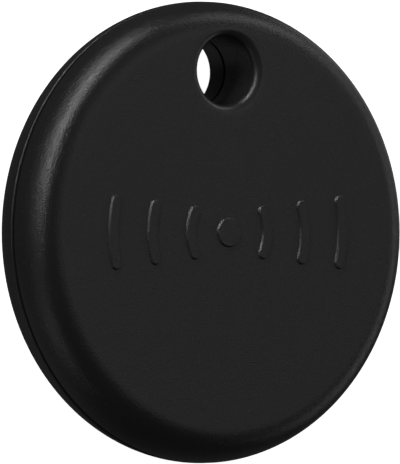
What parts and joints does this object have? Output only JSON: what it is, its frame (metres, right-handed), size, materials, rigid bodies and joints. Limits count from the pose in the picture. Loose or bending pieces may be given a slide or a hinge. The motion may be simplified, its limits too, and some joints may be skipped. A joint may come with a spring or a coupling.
{
  "type": "bluetooth tracker tag",
  "caption": "Round key-ring tracker tag: two rounded plastic shells with a lipped key hole, a press-to-click face, and a coin cell, circuit board and piezo sounder inside.",
  "frame": {"origin": "centre of the flat rear face, on the surface that the tag lies on", "axes": "+Z out of the front face, +Y from the centre towards the key hole, +X to the right when the front face is seen with the key hole at the top"},
  "size_m": [0.0388, 0.0388, 0.0076],
  "materials": {
    "shell_black": "fine moulded grain, satin",
    "seal_silicone": "smooth matte silicone",
    "adhesive": "cured glue film",
    "sounder_brass": "rolled, satin",
    "sounder_ceramic": "fired silver electrode",
    "frame_plastic": "fine spark grain",
    "board_laminate": "solder mask, semi-gloss",
    "spring_steel": "nickel plated strip",
    "gold_plate": "gold plated, polished",
    "switch_plastic": "moulded, matte",
    "plunger_plastic": "moulded, satin",
    "chip_resin": "moulded epoxy, matte",
    "crystal_lid": "plated metal lid",
    "ferrite": "ground ferrite, matte",
    "antenna_ceramic": "fired ceramic, satin",
    "capacitor_ceramic": "fired ceramic with plated ends",
    "resistor_ceramic": "glazed film on ceramic with plated ends",
    "cell_steel": "nickel plated stainless steel",
    "cell_nylon": "moulded nylon"
  },
  "bodies": {
    "rear_half": {"rear_cover": "shell_black", "seam_gasket": "seal_silicone", "piezo_adhesive_ring": "adhesive", "piezo_brass_disc": "sounder_brass", "piezo_ceramic_disc": "sounder_ceramic"},
    "inner_core": {"chassis": "frame_plastic", "circuit_board": "board_laminate", "positive_contact": "spring_steel", "negative_contact": "spring_steel", "piezo_pin_1": "gold_plate", "piezo_pin_2": "gold_plate", "switch_base": "switch_plastic", "switch_frame": "spring_steel", "bluetooth_chip": "chip_resin", "radio_crystal": "crystal_lid", "clock_crystal": "crystal_lid", "boost_inductor": "ferrite", "drive_transistor": "chip_resin", "chip_antenna": "antenna_ceramic", "capacitor_1": "capacitor_ceramic", "capacitor_2": "capacitor_ceramic", "capacitor_3": "capacitor_ceramic", "capacitor_4": "capacitor_ceramic", "capacitor_5": "capacitor_ceramic", "capacitor_6": "capacitor_ceramic", "resistor_1": "resistor_ceramic", "resistor_2": "resistor_ceramic", "resistor_3": "resistor_ceramic", "resistor_4": "resistor_ceramic"},
    "coin_cell": {"coin_cell_can": "cell_steel", "coin_cell_seal": "cell_nylon", "coin_cell_cap": "cell_steel"},
    "front_face": {"front_cover": "shell_black", "switch_plunger": "plunger_plastic"}
  },
  "joints": [
    {"name": "case_open", "type": "slide", "parent": "rear_half", "child": "inner_core", "axis": [0, 0, 1], "range_m": [0, 0.014]},
    {"name": "cell_out", "type": "slide", "parent": "inner_core", "child": "coin_cell", "axis": [0, 0, -1], "range_m": [0, 0.007]},
    {"name": "face_press", "type": "slide", "parent": "inner_core", "child": "front_face", "axis": [0, 0, -1], "range_m": [0, 0.0002], "stiffness_N_per_m": 6000, "springref_m": -0.0001}
  ],
  "couplings": [
    {"joint": "cell_out", "follows": "case_open", "ratio": 0.5}
  ]
}
